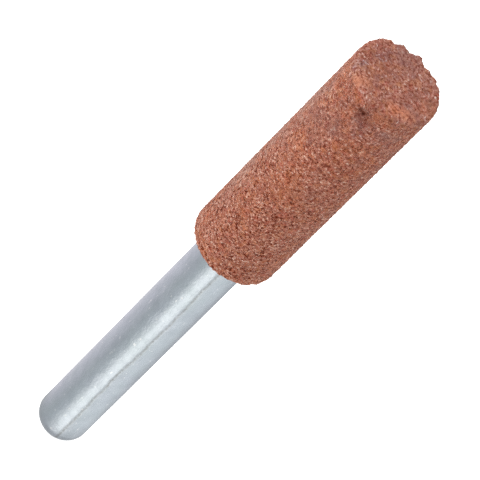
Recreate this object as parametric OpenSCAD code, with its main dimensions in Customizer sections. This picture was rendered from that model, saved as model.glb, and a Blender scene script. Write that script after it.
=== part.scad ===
// Mounted point: a cylindrical abrasive stone cemented on a round steel shank.
// The origin is the centre of the stone's back face, where the shank's shoulder seats.
// +Z runs along the spindle axis to the stone's free end, and the shank hangs below the origin.

/* [Stone] */
// Diameter of the stone
stone_d = 10; // [8:0.5:20]
// Length of the stone along the axis
stone_l = 32.5; // [20:0.5:50]
// Rounding of the stone's edge at its back face
back_edge_r = 0.7; // [0.3:0.05:1.5]
// Rounding of the stone's edge at its free end
front_edge_r = 0.4; // [0.3:0.05:1.5]

/* [Shank] */
// Diameter of the shank, which a collet grips
shank_d = 6; // [5:0.5:8]
// Length of the shank outside the stone
shank_l = 40; // [25:1:60]
// Rounding of the shank's outer end
tip_r = 2.1; // [0.3:0.1:2.4]

/* [Tang] */
// Diameter of the tang inside the stone
tang_d = 3.2; // [2.4:0.1:4.4]
// Length of the tang from the shoulder
tang_l = 14; // [8:1:18]
// Chamfer at the tang's end
tang_chamfer = 0.4; // [0.1:0.1:0.8]
// Number of ring grooves that key the cement
groove_count = 5; // [2:1:8]
// Radius of each half-round ring groove
groove_r = 0.25; // [0.1:0.05:0.4]

/* [Cement] */
// Thickness of the cement round the tang
cement_side = 0.3; // [0.1:0.05:0.6]
// Thickness of the cement past the tang's end
cement_end = 0.6; // [0.2:0.1:1.5]

/* [Worn end] */
// Scale of the bites that use has broken out of the free end's rim and side
chip_bite = 1; // [0.4:0.1:1.2]
// Scale of the breadth of those bites
chip_breadth = 1; // [0.6:0.1:1.5]

/* [Hidden] */
$fn = 96;

stone_r = stone_d / 2;
shank_r = shank_d / 2;
tang_r = tang_d / 2;
hole_r = tang_r + cement_side;
hole_l = tang_l + cement_end;
groove_pitch = tang_l / (groove_count + 1);
overcut = 1;

// Each chip in the rim: its angle round the axis, its breadth along the rim and its depth
rim_chips = [
    [125, 1.4, 0.28],
    [105, 1.8, 0.36],
    [79, 1.5, 0.36],
    [66, 1.0, 0.32],
    [52, 1.2, 0.16],
];

// Each pit in the side: its angle, its distance from the free end, its breadth and its depth
side_pits = [
    [-91, 1.3, 1.5, 0.4],
];

stone_colour = [0.66, 0.39, 0.32];
steel_colour = [0.76, 0.79, 0.82];
cement_colour = [0.62, 0.60, 0.56];

// Half of the stone's section, with a different rounding at each end
module stone_section() {
    translate([0, back_edge_r])
        square([stone_r, stone_l - back_edge_r - front_edge_r]);
    square([stone_r - back_edge_r, stone_l]);
    translate([0, stone_l - front_edge_r])
        square([stone_r - front_edge_r, front_edge_r]);
    translate([stone_r - back_edge_r, back_edge_r])
        circle(back_edge_r);
    translate([stone_r - front_edge_r, stone_l - front_edge_r])
        circle(front_edge_r);
}

// Half of the blind hole's section, from the back face
module hole_section() {
    square([hole_r, hole_l]);
}

// Half of the tang's section: chamfered end, half-round ring grooves
module tang_section() {
    difference() {
        polygon([
            [0, 0],
            [tang_r, 0],
            [tang_r, tang_l - tang_chamfer],
            [tang_r - tang_chamfer, tang_l],
            [0, tang_l],
        ]);
        for (i = [1 : groove_count])
            translate([tang_r, i * groove_pitch])
                circle(groove_r);
    }
}

// Half of the section of the shank's bare length, with its rounded outer end
module bare_section() {
    translate([0, tip_r - shank_l])
        square([shank_r, shank_l - tip_r]);
    translate([0, -shank_l])
        square([shank_r - tip_r, tip_r]);
    intersection() {
        translate([shank_r - tip_r, tip_r - shank_l])
            circle(tip_r);
        translate([0, -shank_l])
            square([shank_r, tip_r]);
    }
}

// One chip: a ball that bites into the middle of the free end's rounded edge
module rim_chip(angle, breadth, bite) {
    ball_r = (breadth * breadth / 4 + bite * bite) / (2 * bite);
    edge = front_edge_r * (1 - cos(45));
    reach = (ball_r - bite) * cos(45);
    rotate([0, 0, angle])
        translate([stone_r - edge + reach, 0, stone_l - edge + reach])
            sphere(ball_r);
}

// One pit: a ball that bites straight into the side
module side_pit(angle, drop, breadth, bite) {
    ball_r = (breadth * breadth / 4 + bite * bite) / (2 * bite);
    rotate([0, 0, angle])
        translate([stone_r + ball_r - bite, 0, stone_l - drop])
            sphere(ball_r);
}

module shank() {
    color(steel_colour)
        rotate_extrude() {
            bare_section();
            tang_section();
        }
}

module abrasive_head() {
    color(stone_colour)
        difference() {
            rotate_extrude()
                difference() {
                    stone_section();
                    translate([0, -overcut])
                        square([hole_r, hole_l + overcut]);
                }
            for (chip = rim_chips)
                rim_chip(chip[0], chip[1] * chip_breadth, chip[2] * chip_bite);
            for (pit = side_pits)
                side_pit(pit[0], pit[1], pit[2] * chip_breadth, pit[3] * chip_bite);
        }
}

module bond_cement() {
    color(cement_colour)
        rotate_extrude()
            difference() {
                hole_section();
                tang_section();
            }
}

shank();
abrasive_head();
bond_cement();
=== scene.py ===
from math import cos, pi, radians, sin, sqrt

import bpy
from mathutils import Matrix, Vector


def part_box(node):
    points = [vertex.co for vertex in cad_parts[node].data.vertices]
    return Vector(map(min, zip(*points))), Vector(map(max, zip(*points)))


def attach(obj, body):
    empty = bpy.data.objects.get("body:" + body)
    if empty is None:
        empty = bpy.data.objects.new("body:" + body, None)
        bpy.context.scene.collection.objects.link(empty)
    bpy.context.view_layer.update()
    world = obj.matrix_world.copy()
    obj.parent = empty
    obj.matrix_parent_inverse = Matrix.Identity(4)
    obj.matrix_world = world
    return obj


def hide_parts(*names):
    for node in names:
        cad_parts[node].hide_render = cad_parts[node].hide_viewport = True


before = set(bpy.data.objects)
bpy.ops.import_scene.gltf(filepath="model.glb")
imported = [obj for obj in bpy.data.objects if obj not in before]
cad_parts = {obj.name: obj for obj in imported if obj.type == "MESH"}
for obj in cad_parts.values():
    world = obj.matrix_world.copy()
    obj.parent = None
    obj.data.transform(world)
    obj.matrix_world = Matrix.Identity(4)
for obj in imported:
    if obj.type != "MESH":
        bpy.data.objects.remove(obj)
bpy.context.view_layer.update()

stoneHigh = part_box("abrasive_head")[1]
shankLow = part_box("shank")[0]
mm = 0.001
print("frame loaded:", ", ".join(sorted(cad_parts)))


# helpers for meshes

def clearSelection():
    if bpy.context.object and bpy.context.object.mode == "EDIT":
        bpy.ops.object.mode_set(mode="OBJECT")
    bpy.ops.object.select_all(action="DESELECT")


def pick(piece):
    clearSelection()
    piece.select_set(True)
    bpy.context.view_layer.objects.active = piece


def applyModifier(piece, kind, **settings):
    pick(piece)
    modifier = piece.modifiers.new(kind.title(), kind)
    for key, value in settings.items():
        setattr(modifier, key, value)
    bpy.ops.object.modifier_apply(modifier=modifier.name)


def letGo(kind):
    # edit mode is set to edges or faces, with none of them selected
    bpy.ops.object.mode_set(mode="EDIT")
    bpy.ops.mesh.select_mode(type=kind)
    bpy.ops.mesh.select_all(action="DESELECT")
    bpy.ops.object.mode_set(mode="OBJECT")


def selectEdges(piece, test):
    # edges whose two ends both pass the test
    letGo("EDGE")
    points = piece.data.vertices
    for edge in piece.data.edges:
        edge.select = all(test(points[i].co) for i in edge.vertices)
    bpy.ops.object.mode_set(mode="EDIT")


def selectFaces(piece, test):
    letGo("FACE")
    for face in piece.data.polygons:
        face.select = test(face)
    bpy.ops.object.mode_set(mode="EDIT")


def toMetres(piece):
    # pieces are shaped in millimetres and brought to the frame's metres at the end
    pick(piece)
    bpy.ops.transform.resize(value=(mm, mm, mm), center_override=(0, 0, 0))
    bpy.ops.object.transform_apply(location=True, rotation=True, scale=True)


def giveLook(piece, material):
    piece.data.materials.clear()
    piece.data.materials.append(material)


# helpers for materials

middle = 0.5    # the level that noise lies round


def addNode(tree, kind, values=None, **settings):
    node = tree.nodes.new(kind)
    for key, value in settings.items():
        setattr(node, key, value)
    for key, value in (values or {}).items():
        node.inputs[key].default_value = value
    return node


def wire(tree, *pairs):
    for source, target in pairs:
        tree.links.new(source, target)


def newMaterial(name, **values):
    material = bpy.data.materials.new(name)
    material.use_nodes = True
    shader = material.node_tree.nodes["Principled BSDF"]
    for key, value in values.items():
        shader.inputs[key.replace("_", " ")].default_value = value
    return material, material.node_tree, shader


def addRamp(tree, value, stops):
    node = addNode(tree, "ShaderNodeValToRGB")
    ramp = node.color_ramp
    while len(ramp.elements) < len(stops):
        ramp.elements.new(0.5)      # it gets its place below
    for element, (place, colour) in zip(ramp.elements, stops):
        element.position = place
        element.color = (*colour, 1)
    wire(tree, (value, node.inputs[0]))
    return node.outputs[0]


def mathNode(tree, operation, first, second=None, third=None):
    node = addNode(tree, "ShaderNodeMath", operation=operation)
    for socket, value in zip(node.inputs, (first, second, third)):
        if isinstance(value, (int, float)):
            socket.default_value = value
        elif value is not None:
            wire(tree, (value, socket))
    return node.outputs[0]


def centred(tree, value):
    return mathNode(tree, "SUBTRACT", value, middle)


def between(tree, share, first, second):
    # a value that goes from the first to the second as the share goes from 0 to 1
    return mathNode(tree, "MULTIPLY_ADD", share, second - first, first)


def fade(tree, value, low, high):
    # smooth step of a value from 0 at low to 1 at high
    node = addNode(tree, "ShaderNodeMapRange", {"From Min": low, "From Max": high},
                   interpolation_type="SMOOTHSTEP")
    wire(tree, (value, node.inputs["Value"]))
    return node.outputs["Result"]


def fadeMm(tree, value, low, high):
    return fade(tree, value, low * mm, high * mm)


def mixColours(tree, share, first, second, blend="MIX"):
    node = addNode(tree, "ShaderNodeMix", data_type="RGBA", blend_type=blend)
    for socket, value in ((node.inputs[0], share), (node.inputs[6], first), (node.inputs[7], second)):
        if isinstance(value, tuple):
            socket.default_value = (*value, 1)
        else:
            wire(tree, (value, socket))
    return node.outputs[2]


def objectPlace(tree):
    return addNode(tree, "ShaderNodeTexCoord").outputs["Object"]


def splitAxes(tree, place):
    node = addNode(tree, "ShaderNodeSeparateXYZ")
    wire(tree, (place, node.inputs[0]))
    return node.outputs


def angleRound(tree, place):
    # angle round the axis, from -Y towards +X
    axes = splitAxes(tree, place)
    return mathNode(tree, "ARCTAN2", axes[0], mathNode(tree, "MULTIPLY", axes[1], -1.0))


def addBump(tree, shader, height, strength, depth):
    node = addNode(tree, "ShaderNodeBump", {"Strength": strength, "Distance": depth * mm})
    wire(tree, (height, node.inputs["Height"]), (node.outputs[0], shader.inputs["Normal"]))
    return node


# camera: it looks down on the free end, and is rolled so the axis lies on the diagonal

view = {
    "tilt": radians(46.0),      # of the line of sight, below the level
    "distance": 0.410,          # to the shoulder, which is the origin
    "roll": radians(45),
    "sensor": 36,               # mm
    "focal": 297.4,             # mm
    "nearest": 0.01,            # nothing closer is drawn
    "right": 0.612 * mm,        # aim point from the shoulder
    "up": 0.548 * mm,
}


def makeCamera():
    back = Vector((0, -cos(view["tilt"]), sin(view["tilt"])))
    upright = Vector((0, sin(view["tilt"]), cos(view["tilt"])))
    side = Vector((1, 0, 0))
    right = side * cos(view["roll"]) + upright * sin(view["roll"])
    up = upright * cos(view["roll"]) - side * sin(view["roll"])
    place = back * view["distance"]
    aim = right * view["right"] + up * view["up"]
    look = (place - aim).normalized()
    across = up.cross(look).normalized()
    camera = bpy.data.objects.new("camera", bpy.data.cameras.new("camera"))
    camera.data.sensor_width = view["sensor"]
    camera.data.lens = view["focal"]
    camera.data.clip_start = view["nearest"]
    turn = Matrix((across, look.cross(across), look)).transposed().to_4x4()
    camera.matrix_world = Matrix.Translation(place) @ turn
    bpy.context.scene.collection.objects.link(camera)
    bpy.context.scene.camera = camera


makeCamera()
bpy.context.scene.view_settings.view_transform = "Standard"
bpy.context.scene.cycles.use_denoising = False      # it would melt the fine grain
print("camera placed")


# shader groups

pattern = {
    "bendScale": 1.7,           # noise that bends the outlines of the grains
    "bendDetail": 2.0,
    "bendReach": 0.5,           # in grains
    "cloudDetail": 4.0,
    "cloudRoughness": 0.55,
}


def newGroup(name, inputs, outputs):
    # all the outputs are plain values
    tree = bpy.data.node_groups.new(name, "ShaderNodeTree")
    for label, kind in inputs.items():
        tree.interface.new_socket(label, in_out="INPUT", socket_type=kind)
    for label in outputs:
        tree.interface.new_socket(label, in_out="OUTPUT", socket_type="NodeSocketFloat")
    return tree, addNode(tree, "NodeGroupInput").outputs, addNode(tree, "NodeGroupOutput").inputs


def makeGrainGroup():
    # crushed grains: each has a tone and a hue of its own, and a height that falls from its middle
    tree, source, target = newGroup(
        "crushedGrain",
        {"Place": "NodeSocketVector", "Grains per mm": "NodeSocketFloat"},
        ("Tone", "Hue", "Height"))
    perMetre = mathNode(tree, "DIVIDE", source["Grains per mm"], mm)
    spread = addNode(tree, "ShaderNodeVectorMath", operation="SCALE")
    bend = addNode(tree, "ShaderNodeTexNoise", {
        "Scale": pattern["bendScale"], "Detail": pattern["bendDetail"]})
    sway = addNode(tree, "ShaderNodeVectorMath", {1: (middle,) * 3}, operation="SUBTRACT")
    push = addNode(tree, "ShaderNodeVectorMath", {1: (pattern["bendReach"],) * 3}, operation="MULTIPLY_ADD")
    cells = addNode(tree, "ShaderNodeTexVoronoi", {"Scale": 1.0})
    parts = addNode(tree, "ShaderNodeSeparateColor")
    height = mathNode(tree, "SUBTRACT", 1.0, cells.outputs["Distance"])
    wire(tree,
         (source["Place"], spread.inputs[0]), (perMetre, spread.inputs["Scale"]),
         (spread.outputs[0], bend.inputs["Vector"]), (bend.outputs["Color"], sway.inputs[0]),
         (sway.outputs[0], push.inputs[0]), (spread.outputs[0], push.inputs[2]),
         (push.outputs[0], cells.inputs["Vector"]), (cells.outputs["Color"], parts.inputs[0]),
         (parts.outputs[0], target["Tone"]), (parts.outputs[1], target["Hue"]), (height, target["Height"]))
    return tree


def makeMottleGroup():
    # cloudy patches between 0 and 1, which may be drawn out along the axis
    tree, source, target = newGroup(
        "mottle",
        {"Place": "NodeSocketVector", "Patch mm": "NodeSocketFloat", "Drawn Out": "NodeSocketFloat",
         "Contrast": "NodeSocketFloat"},
        ("Patches",))
    perMetre = mathNode(tree, "DIVIDE", 1 / mm, source["Patch mm"])
    along = mathNode(tree, "DIVIDE", perMetre, source["Drawn Out"])
    sizes = addNode(tree, "ShaderNodeCombineXYZ")
    spread = addNode(tree, "ShaderNodeVectorMath", operation="MULTIPLY")
    cloud = addNode(tree, "ShaderNodeTexNoise", {
        "Scale": 1.0, "Detail": pattern["cloudDetail"], "Roughness": pattern["cloudRoughness"]})
    scaled = mathNode(tree, "MULTIPLY_ADD", centred(tree, cloud.outputs["Fac"]), source["Contrast"], middle)
    limited = addNode(tree, "ShaderNodeClamp")
    wire(tree,
         (perMetre, sizes.inputs[0]), (perMetre, sizes.inputs[1]), (along, sizes.inputs[2]),
         (source["Place"], spread.inputs[0]), (sizes.outputs[0], spread.inputs[1]),
         (spread.outputs[0], cloud.inputs["Vector"]),
         (scaled, limited.inputs["Value"]), (limited.outputs[0], target["Patches"]))
    return tree


grainGroup = makeGrainGroup()
mottleGroup = makeMottleGroup()


def placeGroup(tree, group, place, shift, **values):
    # the same effect at another place on the piece is a copy, shifted by some mm
    node = addNode(tree, "ShaderNodeGroup", node_tree=group)
    mapping = addNode(tree, "ShaderNodeMapping", {"Location": Vector(shift) * mm})
    wire(tree, (place, mapping.inputs[0]), (mapping.outputs[0], node.inputs["Place"]))
    for key, value in values.items():
        node.inputs[key.replace("_", " ")].default_value = value
    return node.outputs


def placeMottles(tree, place, mottles):
    masks = {}
    for name, (shift, size, drawnOut, contrast) in mottles.items():
        outputs = placeGroup(
            tree, mottleGroup, place, shift, Patch_mm=size, Drawn_Out=drawnOut, Contrast=contrast)
        masks[name] = outputs["Patches"]
    return masks


def placeGrains(tree, place, grains):
    # the masks of a kind of grain are called by its name and the output's, as in coarseTone
    masks = {}
    for name, (shift, perMm) in grains.items():
        for output in placeGroup(tree, grainGroup, place, shift, Grains_per_mm=perMm):
            masks[name + output.name] = output
    return masks


# abrasive stone, in mm

stone = {
    "radius": stoneHigh.x / mm,
    "length": stoneHigh.z / mm + 0.17,      # the worn end stands out this much past the solid's
    "facets": 160,
    "skew": radians(-1.4),      # the free end has worn out of square
    "taper": -0.012,            # and a little thinner
    "boreRadius": 1.9,
    "boreDepth": 14.6,
    "boreMargin": 0.4,          # round the bore no grain stands out
    "backRound": 0.70,
    "frontRound": 0.40,
    "roundSegments": 8,
    "tolerance": 0.001,
    "voxel": 0.134,
    "chipSlope": radians(45),   # chips bite into the middle of the rounded edge
    "chips": [                  # angle round the axis, breadth, bite
        (125, 1.6, 0.30), (105, 2.0, 0.42), (79, 1.7, 0.42), (66, 1.0, 0.34), (52, 1.3, 0.18),
    ],
    "pit": (-91, 1.9, 1.5, 0.4),    # in the side: angle, distance from the free end, breadth, bite
    "ballDetail": 4,            # of the balls that cut the chips and the pit
    "endRelief": 0.65,          # share of the relief at the ends and on the side
    "sideRelief": 0.42,
    "relief": {                 # kind of texture, size, height, level that stays in place, settings
        "waves": ("CLOUDS", 2.4, 0.10, 0.5, {}),
        "grains": ("VORONOI", 0.34, -0.16, 0.3, {"noise_intensity": 1.2}),
        "pores": ("CLOUDS", 0.42, -0.14, 0.25, {"contrast": 3.0, "intensity": 0.62}),
    },
}


def makeStone():
    clearSelection()
    radius, length, tolerance = stone["radius"], stone["length"], stone["tolerance"]
    bpy.ops.mesh.primitive_cylinder_add(
        vertices=stone["facets"], radius=radius, depth=length, location=(0, 0, length / 2))
    piece = bpy.context.object
    piece.name = "grindingStone"
    bpy.ops.object.transform_apply(location=True)
    for height, rounding in ((0, stone["backRound"]), (length, stone["frontRound"])):
        selectEdges(piece, lambda co: abs(co.z - height) < tolerance)
        bpy.ops.mesh.bevel(
            offset=rounding, offset_type="OFFSET", segments=stone["roundSegments"], affect="EDGES")
    selectFaces(piece, lambda face: face.center.z > length - stone["frontRound"])
    bpy.ops.transform.rotate(value=stone["skew"], orient_axis="Y", center_override=(0, 0, length))
    selectFaces(piece, lambda face: abs(face.center.z) < tolerance)     # the flat back face
    bpy.ops.mesh.inset(thickness=radius - stone["backRound"] - stone["boreRadius"])
    bpy.ops.mesh.extrude_region_move(TRANSFORM_OT_translate={"value": (0, 0, stone["boreDepth"])})
    bpy.ops.object.mode_set(mode="OBJECT")
    slope = stone["chipSlope"]
    edge = stone["frontRound"] * (1 - cos(slope))
    for angle, breadth, bite in stone["chips"]:
        cutBall(piece, radians(angle), slope, radius - edge, length - edge, breadth, bite)
    angle, drop, breadth, bite = stone["pit"]
    cutBall(piece, radians(angle), 0, radius, length - drop, breadth, bite)
    applyModifier(piece, "REMESH", mode="VOXEL", voxel_size=stone["voxel"], use_smooth_shade=True)
    roughen(piece)
    applyModifier(piece, "SIMPLE_DEFORM", deform_method="TAPER", deform_axis="Z", factor=stone["taper"])
    toMetres(piece)
    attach(piece, "root")
    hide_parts("abrasive_head")
    print("stone shaped:", len(piece.data.polygons), "faces")
    return piece


def cutBall(piece, angle, slope, out, up, breadth, bite):
    # a ball that bites into the surface at the given point, along a line that rises by the slope
    ball = (breadth * breadth / 4 + bite * bite) / (2 * bite)
    out += (ball - bite) * cos(slope)
    up += (ball - bite) * sin(slope)
    clearSelection()
    bpy.ops.mesh.primitive_ico_sphere_add(
        subdivisions=stone["ballDetail"], radius=ball, location=(out * cos(angle), out * sin(angle), up))
    cutter = bpy.context.object
    applyModifier(piece, "BOOLEAN", operation="DIFFERENCE", solver="EXACT", object=cutter)
    bpy.data.objects.remove(cutter)


def roughen(piece):
    # real grain on the worked skin; the bore keeps its size
    skin = piece.vertex_groups.new(name="skin")
    bore = stone["boreRadius"] + stone["boreMargin"]
    deep = stone["boreDepth"] + stone["boreMargin"]
    ends, sides = [], []
    for point in piece.data.vertices:
        if sqrt(point.co.x ** 2 + point.co.y ** 2) < bore and point.co.z < deep:
            continue
        onSide = stone["backRound"] < point.co.z < stone["length"] - stone["frontRound"]
        (sides if onSide else ends).append(point.index)
    skin.add(ends, stone["endRelief"], "REPLACE")
    skin.add(sides, stone["sideRelief"], "REPLACE")
    for name, (kind, size, height, level, settings) in stone["relief"].items():
        texture = bpy.data.textures.new(name, kind)
        texture.noise_scale = size
        for key, value in settings.items():
            setattr(texture, key, value)
        applyModifier(piece, "DISPLACE", texture=texture, texture_coords="LOCAL", strength=height,
                      mid_level=level, vertex_group="skin")
        bpy.data.textures.remove(texture)
    piece.vertex_groups.clear()


stoneLook = {
    "specular": 0.02,
    "sheen": 0.55,              # a narrow sheen greys the edges
    "sheenRoughness": 0.06,
    "sheenTint": (1.0, 0.95, 0.88),
    "grains": {                 # shift, grains per mm
        "coarse": ((0, 0, 0), 4.0), "fine": ((3, 1, 7), 8.0),
    },
    "mottles": {                # shift, size of a patch in mm, how drawn out, contrast
        "crumb": ((1, 7, 3), 0.29, 1.0, 2.0), "dust": ((6, 4, 8), 0.12, 1.0, 2.4),
        "voids": ((7, 3, 9), 0.50, 1.0, 2.2), "reds": ((2, 5, 6), 0.75, 1.0, 3.0),
        "ochres": ((9, 6, 2), 0.65, 1.0, 3.0), "blotch": ((3, 8, 2), 1.1, 1.0, 3.2),
        "warm": ((4, 9, 1), 2.6, 1.0, 3.0), "dirt": ((8, 2, 6), 4.5, 1.2, 3.2),
    },

    # parts of the stone: heights in mm where each begins and where it is full
    "free": (10, 27),           # the grain turns softer and duller towards the free end
    "endFace": (0.6, 0.2),      # below the solid's free end
    "backRim": (2.2, 0.2),

    # tone of the grain
    "tones": {                  # what it is made of: shares at the shank and at the free end
        "dust": (0.25, 0.17), "crumb": (0.25, 0.42), "coarseTone": (0.22, 0.17),
        "fineTone": (0.28, 0.08), "voids": (0.0, 0.16),
    },
    "contrast": (2.25, 1.90),   # on the side and on the end face
    "grainStops": [             # from dark to pale grains
        (0.08, (0.19, 0.050, 0.028)), (0.32, (0.325, 0.099, 0.060)), (0.52, (0.415, 0.142, 0.093)),
        (0.74, (0.54, 0.220, 0.152)), (0.96, (0.78, 0.51, 0.40)),
    ],

    # other hues: the mask, the levels it rises between, its share and the colour
    "hues": [
        ("coarseHue", (0.60, 0.80), 0.25, (0.50, 0.195, 0.100)),
        ("fineHue", (0.60, 0.80), 0.25, (0.44, 0.190, 0.150)),
        ("reds", (0.55, 0.95), 0.45, (0.42, 0.085, 0.050)),
        ("ochres", (0.55, 0.95), 0.40, (0.56, 0.200, 0.085)),
    ],
    "orange": (0.55, 0.175, 0.072),
    "warmLevels": (0.55, 0.95),
    "warmShare": 0.26,
    "backRimShare": 0.20,       # more of the orange at the back rim
    "dull": (0.31, 0.150, 0.125),
    "dullLevels": (0.45, 0.95),
    "dullShare": (0.12, 0.40),  # at the shank and at the free end

    # tints, which scale the colour of the grain under them
    "endTint": (0.81, 0.94, 1.06),
    "darkTint": (0.83, 0.83, 0.88),
    "darkLevels": (0.5, 0.95),
    "paleTint": (1.11, 1.14, 1.15),
    "paleLevels": (0.5, 0.05),
    "zones": [                  # place in mm, radius and tint
        ((-3.6, 3.2, 32.6), 1.6, (1.25, 1.32, 1.30)), ((-4.1, -3.0, 32.3), 1.7, (1.10, 1.38, 1.62)),
        ((-3.5, 1.2, 32.5), 2.4, (0.84, 0.86, 0.94)), ((1.2, -4.9, 29.6), 2.6, (0.97, 1.02, 1.10)),
        ((3.9, -3.0, 28.0), 2.4, (1.05, 1.04, 1.04)), ((-2.0, -4.6, 29.8), 2.6, (0.86, 0.83, 0.84)),
        ((-4.6, 1.3, 32.2), 2.2, (1.25, 1.12, 1.00)),
    ],

    # scuffs on the end face: place in mm, radius and colour of what was smeared there
    "scuffs": [
        ((-2.65, -3.65, 32.6), 1.5, (0.62, 0.245, 0.145)), ((3.0, -2.85, 32.6), 1.5, (0.64, 0.240, 0.130)),
        ((1.64, -3.35, 32.6), 1.3, (0.60, 0.195, 0.095)),
    ],
    "scuffShare": 0.55,
    "patchEdge": {"blotch": -0.6, "crumb": -0.8},   # mm by which masks break up the edge of a patch
    "patchTrim": 0.7,           # mm off its radius, as the masks widen it
    "patchCore": -0.6,          # mm, where it is full

    # painted highlight: paler grain along the -X side, where grazing light falls
    "flankDust": (0.48, 0.300, 0.245),
    "flankShare": 0.40,
    "flankEdge": {"blotch": 1.0, "warm": 1.4},      # mm
    "flankSide": (-2.6, -3.8),  # mm from the axis
    "flankStart": (4, 12),      # mm up the stone
    "flankEnd": (31.5, 29.5),

    # pores, whose dark is partly painted shade at the relief's low spots, and the pit's painted shade
    "pore": (0.140, 0.016, 0.002),
    "poreShare": (0.92, 0.52),  # at the shank and at the free end
    "poreLevels": (0.65, 0.56),
    "poreSpread": 0.24,         # fewer pores where the blotches are
    "hollowLevels": (0.22, 0.12),
    "pitTint": (0.58, 0.50, 0.49),
    "pitEdge": {"crumb": -0.9},     # mm
    "pitReach": 0.95,           # of its breadth
    "pitCore": -0.20,           # mm
    "pitShare": (0.55, 1.0),    # on its pale and on its dark crumbs
    "pitLevels": (0.70, 0.30),

    # surface
    "roughness": (0.75, 0.95),
    "dustRelief": 0.35,
    "grainRelief": 0.5,
    "bumpDepth": 0.18,          # mm
    "bumpStrength": (1.0, 0.55),    # on the side and on the end face
}


def stoneMasks(tree, place):
    # the patterns and the parts of the stone, as values from 0 to 1
    masks = placeGrains(tree, place, stoneLook["grains"])
    masks.update(placeMottles(tree, place, stoneLook["mottles"]))
    height = splitAxes(tree, place)[2]
    masks["free"] = fadeMm(tree, height, *stoneLook["free"])
    start, full = stoneLook["endFace"]
    masks["endFace"] = fade(tree, height, stoneHigh.z - start * mm, stoneHigh.z - full * mm)
    masks["backRim"] = fadeMm(tree, height, *stoneLook["backRim"])
    return masks


def breakEdge(tree, masks, distance, reaches):
    # a distance that masks make longer or shorter by some mm, so what ends there has a ragged edge
    for name, reach in reaches.items():
        distance = mathNode(tree, "MULTIPLY_ADD", masks[name], reach * mm, distance)
    return distance


def distanceTo(tree, place, spot):
    node = addNode(tree, "ShaderNodeVectorMath", {1: Vector(spot) * mm}, operation="DISTANCE")
    wire(tree, (place, node.inputs[0]))
    return node.outputs["Value"]


def patch(tree, place, masks, spot, radius):
    away = breakEdge(tree, masks, distanceTo(tree, place, spot), stoneLook["patchEdge"])
    return fadeMm(tree, away, radius - stoneLook["patchTrim"], stoneLook["patchCore"])


def grainTones(tree, masks):
    level = 0.0
    for name, (atShank, atFree) in stoneLook["tones"].items():
        weight = between(tree, masks["free"], atShank, atFree)
        level = mathNode(tree, "MULTIPLY_ADD", masks[name], weight, level)
    contrast = between(tree, masks["endFace"], *stoneLook["contrast"])
    level = mathNode(tree, "MULTIPLY_ADD", centred(tree, level), contrast, middle)
    return addRamp(tree, level, stoneLook["grainStops"])


def addHues(tree, masks, colour):
    # single grains and whole areas of other hues
    for name, levels, share, hue in stoneLook["hues"]:
        amount = mathNode(tree, "MULTIPLY", fade(tree, masks[name], *levels), share)
        colour = mixColours(tree, amount, colour, hue)
    warmer = fade(tree, masks["warm"], *stoneLook["warmLevels"])
    warmer = mathNode(tree, "MULTIPLY", warmer, stoneLook["warmShare"])
    warmer = mathNode(tree, "MULTIPLY_ADD", masks["backRim"], stoneLook["backRimShare"], warmer)
    colour = mixColours(tree, warmer, colour, stoneLook["orange"])
    duller = fade(tree, masks["dirt"], *stoneLook["dullLevels"])
    duller = mathNode(tree, "MULTIPLY", between(tree, masks["free"], *stoneLook["dullShare"]), duller)
    return mixColours(tree, duller, colour, stoneLook["dull"])


def addTints(tree, place, masks, colour):
    darker = fade(tree, masks["blotch"], *stoneLook["darkLevels"])
    paler = fade(tree, masks["blotch"], *stoneLook["paleLevels"])
    tints = [
        (masks["endFace"], stoneLook["endTint"]),
        (mathNode(tree, "MULTIPLY", darker, masks["free"]), stoneLook["darkTint"]),
        (mathNode(tree, "MULTIPLY", paler, masks["free"]), stoneLook["paleTint"]),
    ]
    for spot, radius, tint in stoneLook["zones"]:
        tints.append((patch(tree, place, masks, spot, radius), tint))
    for share, tint in tints:
        colour = mixColours(tree, share, colour, tint, "MULTIPLY")
    return colour


def addFlankLightAndScuffs(tree, place, masks, colour):
    # painted highlight along the -X flank, and the scuffs
    axes = splitAxes(tree, place)
    side = breakEdge(tree, masks, axes[0], stoneLook["flankEdge"])
    flank = fadeMm(tree, side, *stoneLook["flankSide"])
    for ends in (stoneLook["flankStart"], stoneLook["flankEnd"]):
        flank = mathNode(tree, "MULTIPLY", flank, fadeMm(tree, axes[2], *ends))
    amount = mathNode(tree, "MULTIPLY", flank, stoneLook["flankShare"])
    colour = mixColours(tree, amount, colour, stoneLook["flankDust"])
    for spot, radius, smear in stoneLook["scuffs"]:
        scuff = patch(tree, place, masks, spot, radius)
        amount = mathNode(tree, "MULTIPLY", scuff, stoneLook["scuffShare"])
        colour = mixColours(tree, amount, colour, smear)
    return colour


def addHoles(tree, place, masks, relief, colour):
    # dark pores between the grains, partly painted shade at the low spots of the relief, and the painted
    # shade in the pit
    sparse = mathNode(tree, "MULTIPLY_ADD", masks["blotch"], stoneLook["poreSpread"], relief)
    pores = mathNode(tree, "MAXIMUM", fade(tree, sparse, *stoneLook["poreLevels"]),
                     fade(tree, masks["voids"], *stoneLook["hollowLevels"]))
    amount = mathNode(tree, "MULTIPLY", pores, between(tree, masks["free"], *stoneLook["poreShare"]))
    colour = mixColours(tree, amount, colour, stoneLook["pore"])
    angle, drop, breadth = stone["pit"][:3]
    out = stone["radius"]
    spot = (out * cos(radians(angle)), out * sin(radians(angle)), stone["length"] - drop)
    away = breakEdge(tree, masks, distanceTo(tree, place, spot), stoneLook["pitEdge"])
    pit = fadeMm(tree, away, breadth * stoneLook["pitReach"], stoneLook["pitCore"])
    crumbs = fade(tree, masks["crumb"], *stoneLook["pitLevels"])
    amount = mathNode(tree, "MULTIPLY", pit, between(tree, crumbs, *stoneLook["pitShare"]))
    return mixColours(tree, amount, colour, stoneLook["pitTint"], "MULTIPLY")


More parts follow.
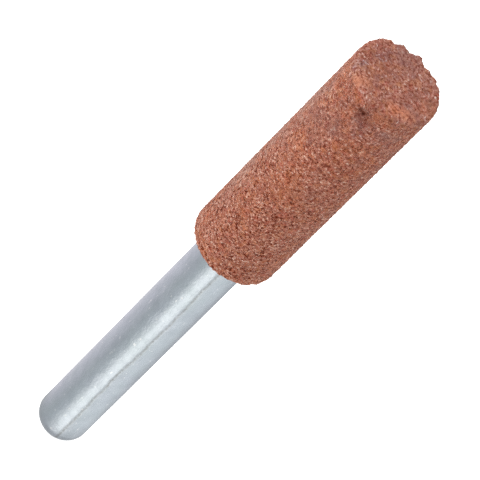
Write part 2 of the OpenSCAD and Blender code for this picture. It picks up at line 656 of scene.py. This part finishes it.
def makeStoneLook():
    material, tree, shader = newMaterial(
        "vitrifiedGrain", Specular_IOR_Level=stoneLook["specular"], Sheen_Weight=stoneLook["sheen"],
        Sheen_Roughness=stoneLook["sheenRoughness"], Sheen_Tint=(*stoneLook["sheenTint"], 1))
    place = objectPlace(tree)
    masks = stoneMasks(tree, place)
    relief = mathNode(tree, "MULTIPLY_ADD", masks["dust"], stoneLook["dustRelief"], masks["crumb"])
    colour = grainTones(tree, masks)
    colour = addHues(tree, masks, colour)
    colour = addTints(tree, place, masks, colour)
    colour = addFlankLightAndScuffs(tree, place, masks, colour)
    colour = addHoles(tree, place, masks, relief, colour)
    matte = between(tree, masks["fineHue"], *stoneLook["roughness"])
    wire(tree, (colour, shader.inputs["Base Color"]), (matte, shader.inputs["Roughness"]))
    raised = mathNode(tree, "MULTIPLY_ADD", masks["coarseHeight"], stoneLook["grainRelief"], relief)
    onSide, onEnd = stoneLook["bumpStrength"]
    bump = addBump(tree, shader, raised, onSide, stoneLook["bumpDepth"])
    wire(tree, (between(tree, masks["endFace"], onSide, onEnd), bump.inputs["Strength"]))
    return material


giveLook(makeStone(), makeStoneLook())
print("stone finished")


# steel shank, which keeps its solid and gets its finish here

steel = {
    "colour": (0.635, 0.685, 0.755),
    "shade": (0.52, 0.570, 0.630),
    "tarnish": (0.565, 0.640, 0.670),
    "nick": (0.80, 0.83, 0.86),
    "mottles": {                # shift, size of a patch in mm, how drawn out, contrast
        "clouds": ((0, 0, 0), 1.1, 1.6, 2.6), "specks": ((5, 3, 1), 0.24, 1.5, 2.4),
        "tarnish": ((4, 2, 8), 1.8, 1.7, 3.4), "nicks": ((1, 8, 5), 0.30, 2.4, 2.6),
        "sway": ((2, 6, 4), 7.0, 1.0, 1.0), "kinks": ((9, 1, 5), 1.2, 1.0, 1.0),
    },
    "speckShare": 0.25,
    "tarnishShare": 0.40,
    "nickLevels": (0.92, 1.0),
    "lineColour": (0.20, 0.185, 0.16),
    "lineAngle": radians(21.5),     # the die line's place, from -Y towards +X
    "lineWidth": radians(5.2),
    "lineWander": {"sway": radians(14), "kinks": radians(6)},
    "lineShare": (0.10, 0.65),  # between the specks and on them
    "roughness": (0.17, 0.31),  # between the specks and on them
    "pastWidth": 0.05,          # radians past the die line, over which the steel turns rougher
    "pastRoughness": 0.10,      # by this much
    "speckRelief": 0.35,
    "lineRelief": -0.7,
    "bumpStrength": 0.6,
    "bumpDepth": 0.05,          # mm
}


def makeSteelLook():
    material, tree, shader = newMaterial("drawnSteel", Metallic=1.0)
    place = objectPlace(tree)
    masks = placeMottles(tree, place, steel["mottles"])
    specks = masks["specks"]
    wander = steel["lineAngle"]
    for name, reach in steel["lineWander"].items():
        wander = mathNode(tree, "MULTIPLY_ADD", centred(tree, masks[name]), reach, wander)
    offset = mathNode(tree, "SUBTRACT", angleRound(tree, place), wander)
    line = fade(tree, mathNode(tree, "ABSOLUTE", offset), steel["lineWidth"], 0.0)
    past = fade(tree, offset, 0.0, steel["pastWidth"])
    layers = [
        (mathNode(tree, "MULTIPLY", specks, steel["speckShare"]), steel["shade"]),
        (mathNode(tree, "MULTIPLY", masks["tarnish"], steel["tarnishShare"]), steel["tarnish"]),
        (fade(tree, masks["nicks"], *steel["nickLevels"]), steel["nick"]),
        (mathNode(tree, "MULTIPLY", line, between(tree, specks, *steel["lineShare"])), steel["lineColour"]),
    ]
    colour = mixColours(tree, masks["clouds"], steel["colour"], steel["shade"])
    for share, layer in layers:
        colour = mixColours(tree, share, colour, layer)
    satin = between(tree, specks, *steel["roughness"])
    satin = mathNode(tree, "MULTIPLY_ADD", past, steel["pastRoughness"], satin)
    wire(tree, (colour, shader.inputs["Base Color"]), (satin, shader.inputs["Roughness"]))
    dents = mathNode(tree, "MULTIPLY_ADD", specks, steel["speckRelief"], masks["clouds"])
    dents = mathNode(tree, "MULTIPLY_ADD", line, steel["lineRelief"], dents)
    addBump(tree, shader, dents, steel["bumpStrength"], steel["bumpDepth"])
    return material


giveLook(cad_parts["shank"], makeSteelLook())
print("shank finished")


# cement, sealed between the tang and the stone

cement = {
    "pale": (0.40, 0.38, 0.34),
    "dark": (0.30, 0.28, 0.25),
    "roughness": 0.9,
    "grains": {"sand": ((0, 0, 0), 8.0)},   # shift, grains per mm
    "bumpStrength": 0.4,
    "bumpDepth": 0.03,          # mm
}


def makeCementLook():
    material, tree, shader = newMaterial("mineralCement", Roughness=cement["roughness"])
    masks = placeGrains(tree, objectPlace(tree), cement["grains"])
    colour = mixColours(tree, masks["sandTone"], cement["pale"], cement["dark"])
    wire(tree, (colour, shader.inputs["Base Color"]))
    addBump(tree, shader, masks["sandHeight"], cement["bumpStrength"], cement["bumpDepth"])
    return material


giveLook(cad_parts["bond_cement"], makeCementLook())
print("cement finished")


# stage: floor and light

stage = {
    "floorSize": 3.0,
    "floorColour": (0.92, 0.92, 0.91),
    "floorRoughness": 0.9,
    "floorGlow": (0.30, 0.70),  # lifts the floor to white, and more so where the camera sees it
    "fill": 0.76,               # light from all round
    "backdrop": 1.0,            # brightness of the empty background
    "lamps": {                  # place, size, power
        "keyLight": ((-0.32, -0.14, 0.24), 0.22, 0.85),
        "topLight": ((0.05, 0.10, 0.55), 0.45, 0.80),
    },
    "reflectorReach": 0.80,
    "reflectorFacets": 96,
    "reflectorRim": 0.50,
    "reflectorLift": 0.05 * mm,     # off the floor
    "reflectorGlow": 2.0,       # a ramp stops at 1, so the colours below are divided by this
    "reflectorCore": (6.5 * mm, 3.5 * mm),      # the grey under the shank's tip, from edge to full
    "reflectorGrey": 0.50,
    "reflectorStops": [         # degrees from -Y towards +X, colour: what the steel mirrors
        (-180, (0.40, 0.40, 0.42)), (-165, (0.85, 0.82, 0.86)), (-136, (0.84, 0.80, 0.84)),
        (-81, (0.68, 0.66, 0.68)), (-50, (0.53, 0.54, 0.54)), (-25, (0.59, 0.61, 0.61)),
        (-6, (0.93, 0.93, 0.90)), (10, (1.38, 1.37, 1.30)), (24, (1.43, 1.42, 1.35)),
        (30, (1.12, 1.12, 1.07)), (39, (0.95, 0.95, 0.92)), (63, (0.91, 0.92, 0.91)),
        (85, (0.86, 0.87, 0.87)), (106, (0.75, 0.76, 0.76)), (125, (0.56, 0.56, 0.57)),
        (150, (0.36, 0.36, 0.38)), (180, (0.40, 0.40, 0.42)),
    ],
    "flagPlace": (0.075, 0.0, 0.0),
    "flagTurn": (0, radians(90), 0),
    "flagSize": 0.16,
    "flagGlow": 0.92,
}


def makeCard(card, glow):
    # a glowing sheet that the camera doesn't see
    material = bpy.data.materials.new(card.name)
    material.use_nodes = True
    tree = material.node_tree
    tree.nodes.clear()
    emitter = addNode(tree, "ShaderNodeEmission", {"Strength": glow})
    wire(tree, (emitter.outputs[0], addNode(tree, "ShaderNodeOutputMaterial").inputs[0]))
    giveLook(card, material)
    card.visible_camera = False
    card.visible_shadow = False
    return tree, emitter


def makeFloor():
    clearSelection()
    bpy.ops.mesh.primitive_plane_add(size=stage["floorSize"], location=(0, 0, shankLow.z))
    floor = bpy.context.object
    floor.name = "floor"
    bpy.ops.object.transform_apply(location=True)
    colour = (*stage["floorColour"], 1)
    material, tree, shader = newMaterial(
        "paleFloor", Base_Color=colour, Roughness=stage["floorRoughness"], Emission_Color=colour)
    seen = addNode(tree, "ShaderNodeLightPath").outputs["Is Camera Ray"]
    wire(tree, (between(tree, seen, *stage["floorGlow"]), shader.inputs["Emission Strength"]))
    giveLook(floor, material)


def makeReflector():
    # a wide dish just over the floor that only reflections see, brighter and darker round the axis
    clearSelection()
    bpy.ops.mesh.primitive_circle_add(
        vertices=stage["reflectorFacets"], radius=stage["reflectorReach"], fill_type="NGON",
        location=(0, 0, shankLow.z + stage["reflectorLift"]))
    dish = bpy.context.object
    dish.name = "reflector"
    dish.visible_diffuse = False
    selectFaces(dish, lambda face: True)
    bpy.ops.mesh.extrude_region_move(TRANSFORM_OT_translate={"value": (0, 0, stage["reflectorRim"])})
    bpy.ops.mesh.delete(type="ONLY_FACE")
    bpy.ops.object.mode_set(mode="OBJECT")
    glow = stage["reflectorGlow"]
    tree, emitter = makeCard(dish, glow)
    place = objectPlace(tree)
    turn = mathNode(tree, "MULTIPLY_ADD", angleRound(tree, place), 0.5 / pi, 0.5)   # 0 to 1 all round
    stops = [(degrees / 360 + 0.5, Vector(colour) / glow) for degrees, colour in stage["reflectorStops"]]
    ramp = addRamp(tree, turn, stops)
    reach = addNode(tree, "ShaderNodeVectorMath", operation="LENGTH")
    core = fade(tree, reach.outputs["Value"], *stage["reflectorCore"])
    colour = mixColours(tree, core, ramp, (stage["reflectorGrey"] / glow,) * 3)
    wire(tree, (place, reach.inputs[0]), (colour, emitter.inputs["Color"]))


def makeFlag():
    # a grey sheet on the +X side that keeps some of the floor's light off the stone
    clearSelection()
    bpy.ops.mesh.primitive_plane_add(
        size=stage["flagSize"], location=stage["flagPlace"], rotation=stage["flagTurn"])
    flag = bpy.context.object
    flag.name = "flag"
    makeCard(flag, stage["flagGlow"])


def makeSoftbox(name, place, size, power):
    # a square lamp that shines at the origin
    lamp = bpy.data.objects.new(name, bpy.data.lights.new(name, "AREA"))
    lamp.data.size = size
    lamp.data.energy = power
    lamp.location = place
    lamp.rotation_euler = Vector(place).to_track_quat("Z", "Y").to_euler()
    bpy.context.scene.collection.objects.link(lamp)


def makeWorld():
    world = bpy.data.worlds.new("studio")
    world.use_nodes = True
    tree = world.node_tree
    seen = addNode(tree, "ShaderNodeLightPath").outputs["Is Camera Ray"]
    background = tree.nodes["Background"]
    background.inputs["Color"].default_value = (1, 1, 1, 1)
    strength = between(tree, seen, stage["fill"], stage["backdrop"])
    wire(tree, (strength, background.inputs["Strength"]))
    bpy.context.scene.world = world


makeFloor()
makeReflector()
makeFlag()
for name, (place, size, power) in stage["lamps"].items():
    makeSoftbox(name, place, size, power)
makeWorld()
print("stage set")
